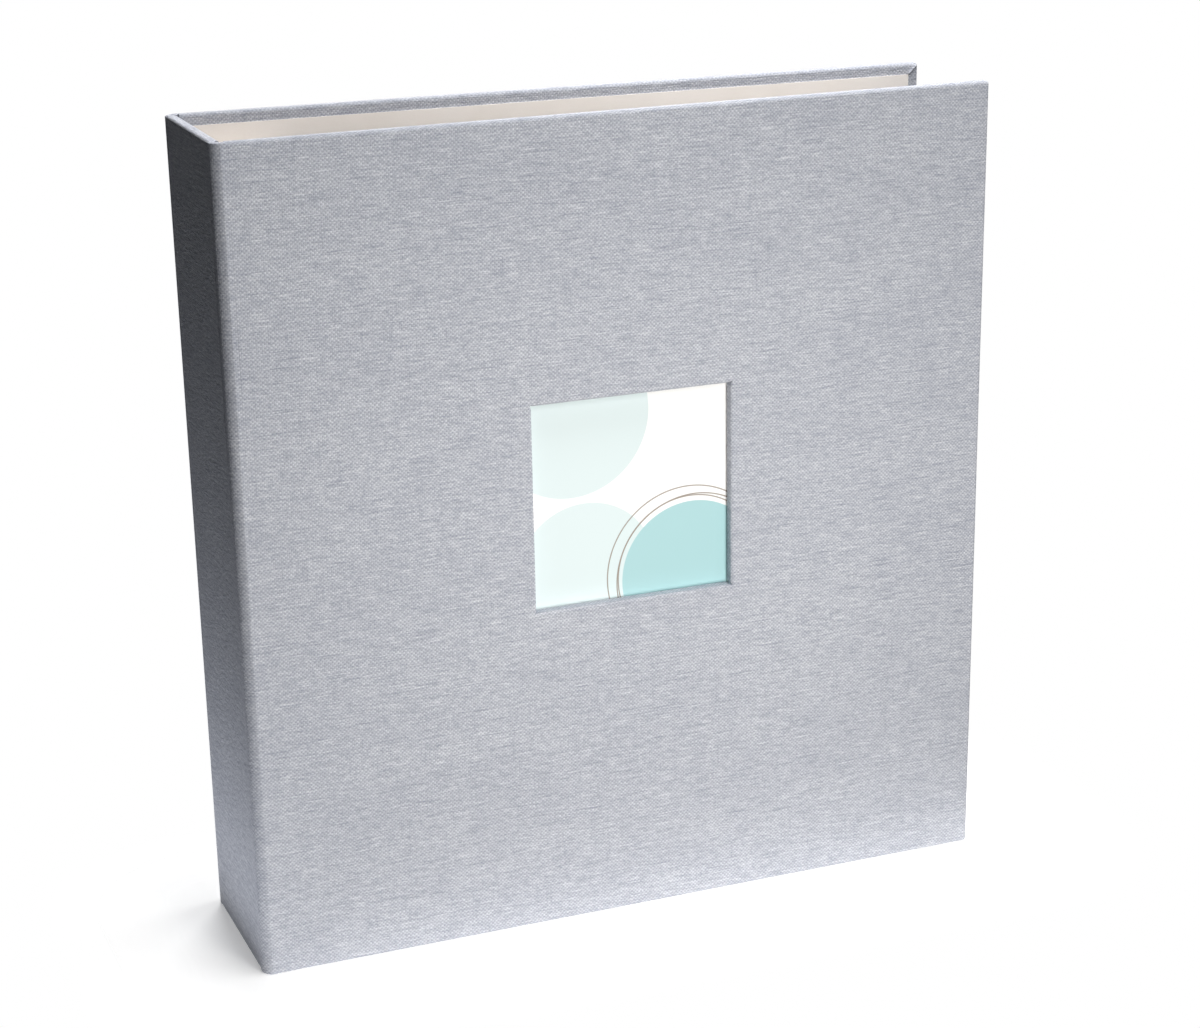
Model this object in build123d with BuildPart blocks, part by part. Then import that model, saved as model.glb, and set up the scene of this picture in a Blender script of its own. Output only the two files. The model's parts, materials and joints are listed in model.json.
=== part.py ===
from build123d import *
import os
from math import cos, radians, sin

# Letter-size scrapbook album standing on its bottom edges: a cloth-covered case with a title
# window in its front cover, and a three-ring metal with page sleeves inside its back cover.
# Millimetres and degrees. +Z is up, +X runs from the spine to the fore-edge, and the front
# cover faces -Y. The origin is the middle of the footprint, on the surface it stands on.

os.makedirs("parts", exist_ok=True)

# Case
cover_height = 298.0
cover_width = 285.0  # spine's outer face to the fore-edge
spine_depth = 68.5  # from one cover's outer face to the other's, at the spine
back_lean = 2.3  # the back cover leans in towards the front one
board = 3.2
cloth = 0.5
endpaper = 0.4
turn_in = 16.0  # cloth turned over onto the boards' inner faces
paper_margin = 4.1  # cloth left showing round the endpapers
edge_round = 1.2  # covered edges
joint_room = 0.4  # keeps the boards apart as a cover swings
joint_lining = 0.4  # second layer of cloth through the joints
paper_setback = 0.6  # endpapers and lining stop this far from the joints

# Title window and card
window = 76.2
window_rise = 11.0  # its centre above the cover's mid height
window_round = 1.0
window_lip = 2.0  # face cloth turned into the window, as far as the flaps' seam
window_turn_in = 12.0
window_paper_gap = 0.5  # the endpaper's opening stands this far back from the window
card_lap = 4.0
card = 0.4
card_clearance = 0.1
pocket_sheet = 0.4
pocket_side_room = 0.5
pocket_flange = 8.0
pocket_lip = 2.0  # the pocket's open edge above the window
thumb_notch = 11.0

# Ring metal
ring_line = 30.0  # its middle from the spine's outer face, along the back cover
ring_spacing = 107.95
ring_count = 3
ring_height = 44.0  # wire's centre line above the endpaper
wire = 3.5
wire_offset = 15.0  # ring halves stand this far either side of the middle
wire_split = 8.5  # where the two halves of a ring meet
split_gap = 0.1
post_bend = 5.5
arch_bend = 22.0
foot_radius = 2.6
foot_height = 0.8
tenon_radius = 1.2
plate_end = 17.05  # plate past the end rings
plate_width = 40.0
plate_crown = 9.0
plate_side = 3.0
plate_sheet = 1.0
slot_room = 0.5
slot_shift = 0.3  # slots' middles outside the wires'
slot_play = 1.9  # slots wider than the wire, for the halves' swing
rail = 1.2
rail_floor = 1.4  # underside of the closed rails above the endpaper
rail_gap = 0.3  # half the gap between the two rails
rail_reach = 18.4
rail_pivot = 18.2
fixed_clearance = 0.02
rivet_span = 158.0
rivet_radius = 2.6
rivet_flange = 5.0
rivet_foot = 0.8
rivet_head = 1.4
rivet_rounding = 1.1
rivet_clearance = 0.8  # rail notches round the rivets

# Levers
pin_inset = 5.0  # pin from the plate's end
pin_height = 5.0
pin_radius = 1.25
pin_clearance = 0.05
ear = 1.2
ear_clearance = 0.8  # lever's side to the ear
ear_reach = 3.2
ear_bottom = 2.3
ear_sink = 1.5  # crown's top down to the ears' upper ends, inside the sheet
lever_width = 12.6
lever_sheet = 1.4
lever_hub = 2.2
lever_arm = 7.0  # pin to the upturned tab
lever_tab = 10.0
lever_lean = 3.0
tongue_width = 8.0
tongue_reach = 3.5
tongue_clearance = 0.6  # closed rails to the tongue
tongue = 0.6
rail_end_gap = 4.8  # rails stop this far short of the pins

# Page sleeves
page_count = 4
page_width = 215.9
page_height = 279.4
page = 0.4
page_clearance = 0.05  # page to the film, each side
film = 0.2
weld = 1.0
page_room = 0.6  # cavity wider than the page
sleeve_mouth = 1.6  # sleeve above the page
sleeve_drop = 2.0  # sleeves' middle below the covers'
page_floor = 11.0  # first sleeve above the endpaper
page_pitch = 1.4
strip = 0.5
strip_clearance = 0.7  # lever's side to the strips' edges
flex_line = 14.0  # where a sleeve bends, from the holes' line
flex_gap = 0.8  # strip stops this far before the bend
flex_start = 0.5  # and the sleeve starts this far past it
punch_radius = 4.5

# Worked out from the sizes above
covered = board + 2 * cloth
inner_face = covered + endpaper
corner = inner_face + joint_room  # boards start this far from the case's outer corners
hinge_in = covered / 2
spine_x = -cover_width / 2
front_y = -spine_depth / 2
back_y = spine_depth / 2
mid_height = cover_height / 2
lean = radians(back_lean)
along_back = Vector(cos(lean), -sin(lean), 0)
into_back = Vector(-sin(lean), -cos(lean), 0)
back_hinge = Vector(spine_x + hinge_in, back_y - hinge_in, 0)
back_corner = back_hinge - along_back * hinge_in - into_back * hinge_in
panel_middle = (corner + cover_width) / 2
window_side = (panel_middle - window / 2, panel_middle + window / 2)
window_level = (mid_height + window_rise - window / 2, mid_height + window_rise + window / 2)
ring_levels = [mid_height + (i - (ring_count - 1) / 2) * ring_spacing for i in range(ring_count)]
rivet_levels = [mid_height - rivet_span / 2, mid_height + rivet_span / 2]
rivet_spots = [(0, level) for level in rivet_levels]
plate_length = (ring_count - 1) * ring_spacing + 2 * plate_end
plate_bottom = mid_height - plate_length / 2
rail_top = rail_floor + rail
ear_offset = lever_width / 2 + ear_clearance
pin_levels = (plate_bottom + pin_inset, plate_bottom + plate_length - pin_inset)
pin_spots = [(level, pin_height) for level in pin_levels]
pin_reach = ear_offset + ear
sleeve = page + 2 * (page_clearance + film)
sleeve_height = weld + page_height + sleeve_mouth
sleeve_bottom = mid_height - sleeve_drop - sleeve_height / 2
sleeve_top = sleeve_bottom + sleeve_height
up = (0, 0, 1)


def front_at(height):
    """Horizontal plane whose x runs along the front cover from the spine, and y into the album."""
    return Plane(origin=(spine_x, front_y, height), x_dir=(1, 0, 0), z_dir=up)


def spine_at(height):
    """The same along the spine, from the front cover to the back one."""
    return Plane(origin=(spine_x, front_y, height), x_dir=(0, 1, 0), z_dir=(0, 0, -1))


def back_at(height):
    """The same along the leaning back cover, from the spine."""
    return Plane(origin=back_corner + Vector(0, 0, height), x_dir=along_back, z_dir=(0, 0, -1))


def rings_at(height):
    """Horizontal plane centred on the ring metal: x towards the fore-edge, y off the endpaper."""
    middle = back_corner + along_back * ring_line + into_back * inner_face
    return Plane(origin=middle + Vector(0, 0, height), x_dir=along_back, z_dir=(0, 0, -1))


def leaf_at(rise):
    """Upright plane at that rise off the back endpaper: x towards the fore-edge, y up."""
    origin = rings_at(0).origin + into_back * rise
    return Plane(origin=origin, x_dir=along_back, z_dir=into_back)


def lever_at(side):
    """Upright plane across the ring metal's middle: x up the album, y off the endpaper."""
    origin = rings_at(0).origin + along_back * side
    return Plane(origin=origin, x_dir=up, z_dir=along_back)


def block(at, along, depth, levels):
    """A block between two places along a panel, two depths into the album and two heights."""
    with BuildPart() as piece:
        with BuildSketch(at(levels[0])):
            with Locations(((along[0] + along[1]) / 2, (depth[0] + depth[1]) / 2)):
                Rectangle(along[1] - along[0], depth[1] - depth[0])
        extrude(amount=levels[1] - levels[0], dir=up)
    return piece.part


def panel_block(at, along, inset, wrapped):
    """A case panel's block, inset from the cloth's outer surface, its wrapped edges rounded.

    The joint end, and the far end where it isn't wrapped, stay square.
    """
    far = along[1] - inset if wrapped else along[1]
    direction = Axis(at(0).origin, at(0).x_dir)
    with BuildPart() as piece:
        add(block(at, (along[0], far), (inset, covered - inset), (inset, cover_height - inset)))
        ends = piece.faces().sort_by(direction)
        square = ends[0].edges() if wrapped else ends[0].edges() + ends[-1].edges()
        fillet(piece.edges() - square, edge_round - inset)
    return piece.part


def window_block(spread, depth):
    """The title window's opening, wider by spread all round, between two depths."""
    side = (window_side[0] - spread, window_side[1] + spread)
    level = (window_level[0] - spread, window_level[1] + spread)
    return block(front_at, side, depth, level)


def save(piece, name):
    """Labels a finished piece and writes its STEP file."""
    piece.label = name
    export_step(piece, f"parts/{name}.step")


# ---- Case panels: board, levelling card, covering cloth and paper, for each of the three

panels = {
    "front": (front_at, (corner, cover_width), True),
    "spine": (spine_at, (corner, spine_depth - corner), False),
    "back": (back_at, (corner, cover_width), True),
}

for panel, (at, along, wrapped) in panels.items():
    inner_end = along[1] - turn_in if wrapped else along[1]
    paper_end = along[1] - paper_margin if wrapped else along[1] - paper_setback
    level_in = (turn_in, cover_height - turn_in)

    # Binder's board, with the window or the rivets' counterbored holes
    with BuildPart() as case_board:
        add(panel_block(at, along, cloth, wrapped))
        if panel == "front":
            add(window_block(cloth, (0, covered)), mode=Mode.SUBTRACT)
        if panel == "back":
            with BuildSketch(leaf_at(0)):
                with Locations(rivet_spots):
                    Circle(rivet_radius + fixed_clearance)
            extrude(amount=-inner_face, mode=Mode.SUBTRACT)
            with BuildSketch(leaf_at(cloth - inner_face)):
                with Locations(rivet_spots):
                    Circle(rivet_flange + fixed_clearance)
            extrude(amount=rivet_foot, mode=Mode.SUBTRACT)
    save(case_board.part, f"{panel}_board")

    # Thin card that levels the board's inner face with the turned-in cloth round it
    with BuildPart() as case_infill:
        add(block(at, (along[0], inner_end), (covered - cloth, covered), level_in))
        if panel == "front":
            add(window_block(window_turn_in, (0, covered)), mode=Mode.SUBTRACT)
        if panel == "back":
            with BuildSketch(leaf_at(0)):
                with Locations(rivet_spots):
                    Circle(rivet_radius + fixed_clearance)
            extrude(amount=-inner_face, mode=Mode.SUBTRACT)
    save(case_infill.part, f"{panel}_infill")

    # Covering cloth: all of the panel that is neither board nor levelling card
    with BuildPart() as case_cloth:
        add(panel_block(at, along, 0, wrapped))
        add(panel_block(at, along, cloth, wrapped), mode=Mode.SUBTRACT)
        add(block(at, (along[0], inner_end), (covered - cloth, covered), level_in), mode=Mode.SUBTRACT)
        if panel == "front":
            add(window_block(cloth, (0, window_lip)))
            add(window_block(0, (0, covered)), mode=Mode.SUBTRACT)
            face = case_cloth.faces().sort_by(Axis.Y)[0]
            fillet(face.inner_wires()[0].edges(), window_round)
    save(case_cloth.part, f"{panel}_cloth")

    # Endpapers on the covers, cloth lining on the spine
    with BuildPart() as case_paper:
        paper = (along[0] + paper_setback, paper_end)
        add(block(at, paper, (covered, inner_face), (paper_margin, cover_height - paper_margin)))
        if panel == "front":
            add(window_block(window_paper_gap, (0, inner_face)), mode=Mode.SUBTRACT)
        if panel == "back":
            with BuildSketch(leaf_at(0)):
                with Locations(rivet_spots):
                    Circle(rivet_radius + fixed_clearance)
            extrude(amount=-endpaper, mode=Mode.SUBTRACT)
    save(case_paper.part, "spine_lining" if panel == "spine" else f"{panel}_endpaper")


# Cloth flaps that line the window and are turned out behind the board
with BuildPart() as window_cloth:
    add(window_block(cloth, (window_lip, covered)))
    add(window_block(window_turn_in, (covered - cloth, covered)))
    add(window_block(0, (0, covered)), mode=Mode.SUBTRACT)
save(window_cloth.part, "window_cloth")


# ---- Cloth joints: quarter-round bands of two glued layers between the spine and the covers

def joint_band(centre, radius, start, sweep):
    """The band between two radii about an upright axis, over the case's full height."""
    with BuildPart() as band:
        with BuildSketch(Plane.XY):
            with Locations(centre):
                Circle(radius)
                Circle(radius - cloth - joint_lining, mode=Mode.SUBTRACT)
            with BuildLine():
                reach = 2 * radius
                first = Line(centre, Vector(*centre) + Vector(reach, 0).rotate(Axis.Z, start))
                last = Line(centre, Vector(*centre) + Vector(reach, 0).rotate(Axis.Z, start + sweep))
                middle = Vector(*centre) + Vector(reach, 0).rotate(Axis.Z, start + sweep / 2)
                ThreePointArc(first @ 1, middle, last @ 1)
            make_face(mode=Mode.INTERSECT)
        extrude(amount=cover_height)
    return band.part


front_joint = joint_band((spine_x + corner, front_y + corner), corner, 180, 90)
save(front_joint, "front_hinge_cloth")

back_joint_radius = hinge_in + (corner - hinge_in) * cos(lean) / (1 + sin(lean))
back_joint_centre = (spine_x + back_joint_radius, back_y - corner)
back_joint = joint_band(back_joint_centre, back_joint_radius, 90 - back_lean, 90 + back_lean)
save(back_joint, "back_hinge_cloth")


# ---- Title card and its pocket, on the inside of the front cover

card_gap = card + 2 * card_clearance
pocket_side = (window_side[0] - card_lap - pocket_side_room, window_side[1] + card_lap + pocket_side_room)
pocket_bottom = window_level[0] - card_lap
pocket_top = window_level[1] + pocket_lip

with BuildPart() as card_pocket:
    outer_side = (pocket_side[0] - pocket_flange, pocket_side[1] + pocket_flange)
    outer_level = (pocket_bottom - pocket_flange, pocket_top)
    add(block(front_at, outer_side, (inner_face, inner_face + card_gap + pocket_sheet), outer_level))
    slot_depth = (inner_face, inner_face + card_gap)
    slot_level = (pocket_bottom, cover_height)
    add(block(front_at, pocket_side, slot_depth, slot_level), mode=Mode.SUBTRACT)
    with BuildSketch(Plane.XZ.offset(-front_y)):
        with Locations((spine_x + panel_middle, pocket_top)):
            Circle(thumb_notch)
    extrude(amount=-spine_depth, mode=Mode.SUBTRACT)
save(card_pocket.part, "card_pocket")

with BuildPart() as title_card:
    card_side = (window_side[0] - card_lap, window_side[1] + card_lap)
    card_depth = (inner_face + card_clearance, inner_face + card_clearance + card)
    add(block(front_at, card_side, card_depth, (pocket_bottom, window_level[1] + card_lap)))
save(title_card.part, "title_card")


# ---- Ring metal on the inside of the back cover

half_plate = plate_width / 2
inner_half = half_plate - plate_sheet
ear_top = plate_crown - ear_sink
side_signs = (-1, 1)

with BuildPart() as ring_cover_plate:
    with BuildSketch(rings_at(plate_bottom)):
        with BuildLine():
            Line((-half_plate, 0), (-half_plate, plate_side))
            ThreePointArc((-half_plate, plate_side), (0, plate_crown), (half_plate, plate_side))
            Line((half_plate, plate_side), (half_plate, 0))
            Line((half_plate, 0), (inner_half, 0))
            Line((inner_half, 0), (inner_half, plate_side))
            under_crown = (0, plate_crown - plate_sheet)
            ThreePointArc((inner_half, plate_side), under_crown, (-inner_half, plate_side))
            Line((-inner_half, plate_side), (-inner_half, 0))
            Line((-inner_half, 0), (-half_plate, 0))
        make_face()
    extrude(amount=plate_length, dir=up)
    # Ears under the crown at both ends, which hold the levers' pins
    for level in pin_levels:
        with BuildSketch(rings_at(level - ear_reach)):
            for sign in side_signs:
                with Locations((sign * (ear_offset + ear / 2), (ear_bottom + ear_top) / 2)):
                    Rectangle(ear, ear_top - ear_bottom)
        extrude(amount=2 * ear_reach, dir=up)
    with BuildSketch(lever_at(-pin_reach)):
        with Locations(pin_spots):
            Circle(pin_radius)
    extrude(amount=2 * pin_reach, mode=Mode.SUBTRACT)
    # Slots for the ring halves and holes for the rivets
    for level in ring_levels:
        with BuildSketch(rings_at(level - wire / 2 - slot_room)):
            for sign in side_signs:
                with Locations((sign * (wire_offset + slot_shift), plate_crown / 2)):
                    Rectangle(wire + slot_play, plate_crown)
        extrude(amount=wire + 2 * slot_room, dir=up, mode=Mode.SUBTRACT)
    with BuildSketch(leaf_at(0)):
        with Locations(rivet_spots):
            Circle(rivet_radius + fixed_clearance)
    extrude(amount=plate_crown + plate_sheet, mode=Mode.SUBTRACT)
save(ring_cover_plate.part, "ring_cover_plate")

with BuildPart() as plate_rivets:
    board_outer = cloth - inner_face
    with BuildSketch(leaf_at(board_outer)):
        with Locations(rivet_spots):
            Circle(rivet_radius)
    extrude(amount=plate_crown - board_outer)
    with BuildSketch(leaf_at(board_outer)):
        with Locations(rivet_spots):
            Circle(rivet_flange)
    extrude(amount=rivet_foot)
    with BuildSketch(leaf_at(plate_crown)):
        with Locations(rivet_spots):
            Circle(rivet_flange)
    extrude(amount=rivet_head)
    crowns = plate_rivets.faces().sort_by(Axis((0, 0, 0), into_back))[-2:]
    fillet(crowns.edges(), rivet_rounding)
save(plate_rivets.part, "plate_rivets")

rail_ends = (pin_levels[0] + rail_end_gap, pin_levels[1] - rail_end_gap)
for name, sign in (("post_rail", 1), ("arch_rail", -1)):
    with BuildPart() as ring_rail:
        with BuildSketch(rings_at(rail_ends[0])):
            with Locations((sign * (rail_gap + rail_reach) / 2, rail_floor + rail / 2)):
                Rectangle(rail_reach - rail_gap, rail)
        extrude(amount=rail_ends[1] - rail_ends[0], dir=up)
        with BuildSketch(leaf_at(0)):
            with Locations(rivet_spots):
                Circle(rivet_radius + rivet_clearance)
            with Locations([(sign * wire_offset, level) for level in ring_levels]):
                Circle(tenon_radius + fixed_clearance)
        extrude(amount=rail_top + rail, mode=Mode.SUBTRACT)
    save(ring_rail.part, name)

for number, level in enumerate(ring_levels, start=1):
    for name, sign, bend in (("ring_post", 1, post_bend), ("ring_arch", -1, arch_bend)):
        tip = wire_split + sign * split_gap / 2
        foot = (sign * wire_offset, rail_top)
        shoulder = (sign * wire_offset, ring_height)
        with BuildPart() as ring_half:
            with BuildLine(rings_at(level)) as bow:
                FilletPolyline(foot, shoulder, (tip, ring_height), radius=bend)
            with BuildSketch(Plane(origin=bow.line @ 0, z_dir=bow.line % 0)):
                Circle(wire / 2)
            sweep(path=bow.line)
            with BuildSketch(leaf_at(rail_top)):
                with Locations((sign * wire_offset, level)):
                    Circle(foot_radius)
            extrude(amount=foot_height)
            with BuildSketch(leaf_at(rail_floor)):
                with Locations((sign * wire_offset, level)):
                    Circle(tenon_radius)
            extrude(amount=rail)
        save(ring_half.part, f"{name}_{number}")

with BuildPart() as lever_pins:
    with BuildSketch(lever_at(-pin_reach)):
        with Locations(pin_spots):
            Circle(pin_radius)
    extrude(amount=2 * pin_reach)
save(lever_pins.part, "lever_pins")

# Stamped levers: a rolled hub on the pin, an upturned finger tab and a tongue under the rails
for name, level, sign in (("bottom_lever", pin_levels[0], -1), ("top_lever", pin_levels[1], 1)):
    with BuildPart() as ring_lever:
        with BuildSketch(lever_at(-lever_width / 2)):
            with Locations((level, pin_height)):
                Circle(lever_hub)
            with BuildLine():
                under = pin_height - lever_sheet / 2
                over = pin_height + lever_sheet / 2
                out = level + sign * lever_arm
                tab_x = out + sign * lever_lean
                tab_y = over + lever_tab
                Polyline(
                    (level, under),
                    (out + sign * lever_sheet, under),
                    (tab_x + sign * lever_sheet, tab_y),
                    (tab_x, tab_y),
                    (out, over),
                    (level, over),
                    close=True,
                )
            make_face()
        extrude(amount=lever_width)
        with BuildSketch(lever_at(-tongue_width / 2)):
            with BuildLine():
                low = rail_floor - tongue_clearance
                inward = level - sign * tongue_reach
                Polyline(
                    (level, pin_height),
                    (level - sign * lever_hub, pin_height),
                    (inward, low),
                    (inward, low - tongue),
                    (level, low - tongue),
                    close=True,
                )
            make_face()
        extrude(amount=tongue_width)
        with BuildSketch(lever_at(-lever_width / 2)):
            with Locations((level, pin_height)):
                Circle(pin_radius + pin_clearance)
        extrude(amount=lever_width, mode=Mode.SUBTRACT)
    save(ring_lever.part, name)


# ---- Page sleeves on the posts, with a page in each

strip_start = lever_width / 2 + strip_clearance
flex = wire_offset + flex_line
sleeve_start = flex + flex_start
cavity_start = sleeve_start + weld
cavity_end = cavity_start + page_width + page_room
page_rises = [page_floor + i * page_pitch for i in range(page_count)]

with BuildPart() as page_binding_strips:
    for rise in page_rises:
        with BuildSketch(leaf_at(rise + (sleeve - strip) / 2)):
            with Locations(((strip_start + flex - flex_gap) / 2, (sleeve_top + sleeve_bottom) / 2)):
                Rectangle(flex - flex_gap - strip_start, sleeve_top - sleeve_bottom)
            with Locations([(wire_offset, level) for level in ring_levels]):
                Circle(punch_radius, mode=Mode.SUBTRACT)
        extrude(amount=strip)
save(page_binding_strips.part, "page_binding_strips")

for number, rise in enumerate(page_rises, start=1):
    with BuildPart() as page_sleeve:
        sleeve_depth = (rise, rise + sleeve)
        sleeve_side = (sleeve_start, cavity_end + weld)
        add(block(rings_at, sleeve_side, sleeve_depth, (sleeve_bottom, sleeve_top)))
        cavity = (rise + film, rise + sleeve - film)
        cavity_level = (sleeve_bottom + weld, sleeve_top)
        add(block(rings_at, (cavity_start, cavity_end), cavity, cavity_level), mode=Mode.SUBTRACT)
    save(page_sleeve.part, f"page_sleeve_{number}")

    with BuildPart() as page_card:
        page_side = (cavity_start + page_room / 2, cavity_end - page_room / 2)
        page_depth = (rise + (sleeve - page) / 2, rise + (sleeve + page) / 2)
        page_level = (sleeve_bottom + weld, sleeve_bottom + weld + page_height)
        add(block(rings_at, page_side, page_depth, page_level))
    save(page_card.part, f"page_card_{number}")
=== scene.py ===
import json
import math

import bpy
import numpy as np
from mathutils import Matrix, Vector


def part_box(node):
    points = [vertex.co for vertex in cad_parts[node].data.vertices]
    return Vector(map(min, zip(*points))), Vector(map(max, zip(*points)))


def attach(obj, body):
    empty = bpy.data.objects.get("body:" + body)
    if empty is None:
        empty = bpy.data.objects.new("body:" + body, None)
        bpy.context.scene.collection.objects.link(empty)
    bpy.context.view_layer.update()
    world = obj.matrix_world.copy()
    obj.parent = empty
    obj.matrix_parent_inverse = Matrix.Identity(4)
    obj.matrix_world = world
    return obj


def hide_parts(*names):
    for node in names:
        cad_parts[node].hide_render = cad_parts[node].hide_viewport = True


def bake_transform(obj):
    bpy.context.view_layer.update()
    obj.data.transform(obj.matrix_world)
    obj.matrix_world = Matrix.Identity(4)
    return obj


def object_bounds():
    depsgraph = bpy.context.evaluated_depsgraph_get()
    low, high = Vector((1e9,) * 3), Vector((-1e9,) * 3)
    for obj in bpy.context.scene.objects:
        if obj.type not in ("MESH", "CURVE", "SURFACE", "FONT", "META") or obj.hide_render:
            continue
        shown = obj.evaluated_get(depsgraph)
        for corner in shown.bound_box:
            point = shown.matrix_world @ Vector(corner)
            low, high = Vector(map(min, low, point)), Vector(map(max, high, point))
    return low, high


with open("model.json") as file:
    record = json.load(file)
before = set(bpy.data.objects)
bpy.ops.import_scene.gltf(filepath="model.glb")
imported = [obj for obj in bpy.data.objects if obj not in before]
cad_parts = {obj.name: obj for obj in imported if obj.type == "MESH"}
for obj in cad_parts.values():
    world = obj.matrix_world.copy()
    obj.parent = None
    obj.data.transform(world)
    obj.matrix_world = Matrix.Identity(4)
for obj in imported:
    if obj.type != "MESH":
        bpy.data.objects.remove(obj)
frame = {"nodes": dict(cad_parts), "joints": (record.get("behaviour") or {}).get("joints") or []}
cad_low, cad_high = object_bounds()

bl_info = {
    "name": "Cloth-bound scrapbook album",
    "version": (1, 0, 0),
    "blender": (4, 5, 0),
    "location": "3D View > Sidebar > Album",
    "description": "Cloth, papers, ring metal and page sleeves of a letter-size scrapbook album",
    "category": "Object",
}

MM = 0.001

# ---- Places taken from the frame, in metres

joints = {joint["name"]: joint for joint in frame["joints"]}
front_low, front_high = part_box("front_cloth")
spine_low, spine_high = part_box("spine_cloth")

SPINE_X = spine_low.x
FRONT_Y = front_low.y
HEIGHT = front_high.z
COVERED = front_high.y - front_low.y  # board with its cloth on both faces
CORNER = front_low.x - spine_low.x  # panels start this far from the case's outer corners
FAR = front_high.x - spine_low.x  # fore-edge, from the spine's outer face
SPINE_FAR = spine_high.y - front_low.y
UP = np.array((0.0, 0.0, 1.0))
ALONG_BACK = np.array(joints["bottom_lever_press"]["axis"])
INTO_BACK = np.cross(ALONG_BACK, UP)
HINGE_IN = COVERED / 2
back_hinge = np.array(joints["back_cover_hinge"]["pos_m"]) * (1, 1, 0)

# Origin, direction along the panel, direction into the album
FRONT = (np.array((SPINE_X, FRONT_Y, 0)), np.array((1.0, 0, 0)), np.array((0, 1.0, 0)))
SPINE = (np.array((SPINE_X, FRONT_Y, 0)), np.array((0, 1.0, 0)), np.array((1.0, 0, 0)))
BACK = (back_hinge - (ALONG_BACK + INTO_BACK) * HINGE_IN, ALONG_BACK, INTO_BACK)


# ---- Meshes

ENDS = 10.0  # a step wider than any stretch, which leaves only the stretch's ends


def stretch(start, stop, step):
    """Evenly spaced values from start to stop, about step apart."""
    return np.linspace(start, stop, max(2, round(abs(stop - start) / step) + 1))


def cuts(*stretches):
    """The places of several stretches as one rising row, each place once."""
    return np.unique(np.round(np.concatenate([stretch(*s) for s in stretches]), 7))


def lattice_skin(lines, filled):
    """The closed skin of a block that three rows of planes cut into cells, some of them empty.

    A square face stands wherever a filled cell meets an empty one, and looks towards the empty
    one. Returns the corner points in use, the faces, and the axis that each face is square to.
    """
    counts = [len(row) for row in lines]
    number = np.arange(np.prod(counts)).reshape(counts)
    padded = np.pad(filled, 1)
    faces, axes = [], []
    for axis in range(3):
        cell = np.moveaxis(padded, axis, 0)
        at = np.moveaxis(number, axis, 0)
        below, above = cell[:-1, 1:-1, 1:-1], cell[1:, 1:-1, 1:-1]
        square = np.stack([at[:, :-1, :-1], at[:, 1:, :-1], at[:, 1:, 1:], at[:, :-1, 1:]], -1)
        if axis == 1:
            square = square[..., ::-1]
        found = [square[below & ~above], square[above & ~below][:, ::-1]]
        faces += found
        axes += [np.full(len(part), axis) for part in found]
    faces, axes = np.concatenate(faces), np.concatenate(axes)
    used, faces = np.unique(faces, return_inverse=True)
    points = np.stack(np.meshgrid(*lines, indexing="ij"), -1).reshape(-1, 3)[used]
    return points, faces.reshape(-1, 4), axes


def middles(row):
    """Middle of each gap between neighbouring places."""
    return (row[1:] + row[:-1]) / 2


def rounded(points, low, high, radius):
    """Rounds a block's edges.

    A point further than the radius from the block shrunk by it moves in to that distance.
    """
    core = np.clip(points, low + radius, high - radius)
    away = points - core
    distance = np.maximum(np.linalg.norm(away, axis=1, keepdims=True), 1e-9)
    return core + away * np.minimum(1, radius / distance)


def placed(panel, points):
    """Points given along a panel, into the album and up, as points in the frame."""
    origin, along, into = panel
    return origin + points[:, :1] * along + points[:, 1:2] * into + points[:, 2:] * UP


def left_handed(panel):
    """Whether along, into and up make a left-handed set, which turns a mesh inside out."""
    return np.dot(np.cross(panel[1], panel[2]), UP) < 0


def panel_uv(points, faces, axes):
    """Threads' directions on a panel's faces: along and up it, or across its edges, in metres."""
    corner = points[faces]
    along, depth, level = corner[..., 0], corner[..., 1], corner[..., 2]
    side = (axes == 0)[:, None]
    end = (axes == 2)[:, None]
    return np.stack([np.where(side, FAR + depth, along), np.where(end, HEIGHT + depth, level)], -1)


def make_piece(name, points, faces, material, uv=None, flip=False, sharp=40, attributes=None):
    """A mesh object from arrays of points and faces, shaded smooth up to the sharp angle."""
    if flip:
        faces = faces[:, ::-1]
        uv = None if uv is None else uv[:, ::-1]
    mesh = bpy.data.meshes.new(name)
    mesh.from_pydata(points.tolist(), [], faces.tolist())
    if uv is not None:
        mesh.uv_layers.new(name="Threads").data.foreach_set("uv", uv.astype(np.float32).ravel())
    for key, values in (attributes or {}).items():
        attribute = mesh.attributes.new(key, "FLOAT", "POINT")
        attribute.data.foreach_set("value", values.astype(np.float32))
    mesh.shade_smooth()
    mesh.set_sharp_from_angle(angle=math.radians(sharp))
    mesh.materials.append(material)
    piece = bpy.data.objects.new(name, mesh)
    bpy.context.scene.collection.objects.link(piece)
    return piece


def finish_node(name, material):
    """Gives a CAD node its finish."""
    node = frame["nodes"][name]
    node.data.materials.clear()
    node.data.materials.append(material)


# ---- Materials

def linear(hexcode, alpha=1.0):
    """An sRGB hex colour as linear red, green, blue and alpha."""
    values = [int(hexcode[i:i + 2], 16) / 255 for i in (1, 3, 5)]
    return [v / 12.92 if v <= 0.04045 else ((v + 0.055) / 1.055) ** 2.4 for v in values] + [alpha]


def add_node(material, kind, settings=None, inputs=None):
    """Adds a node, sets its properties and its sockets, and links those given an output socket."""
    tree = material.node_tree
    node = tree.nodes.new(kind)
    for key, value in (settings or {}).items():
        setattr(node, key, value)
    for key, value in (inputs or {}).items():
        if isinstance(value, bpy.types.NodeSocket):
            tree.links.new(value, node.inputs[key])
        else:
            node.inputs[key].default_value = value
    return node


def new_material(name):
    """An empty node material; returns it and its surface output."""
    material = bpy.data.materials.new(name)
    material.use_nodes = True
    material.node_tree.nodes.clear()
    return material, add_node(material, "ShaderNodeOutputMaterial")


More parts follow.
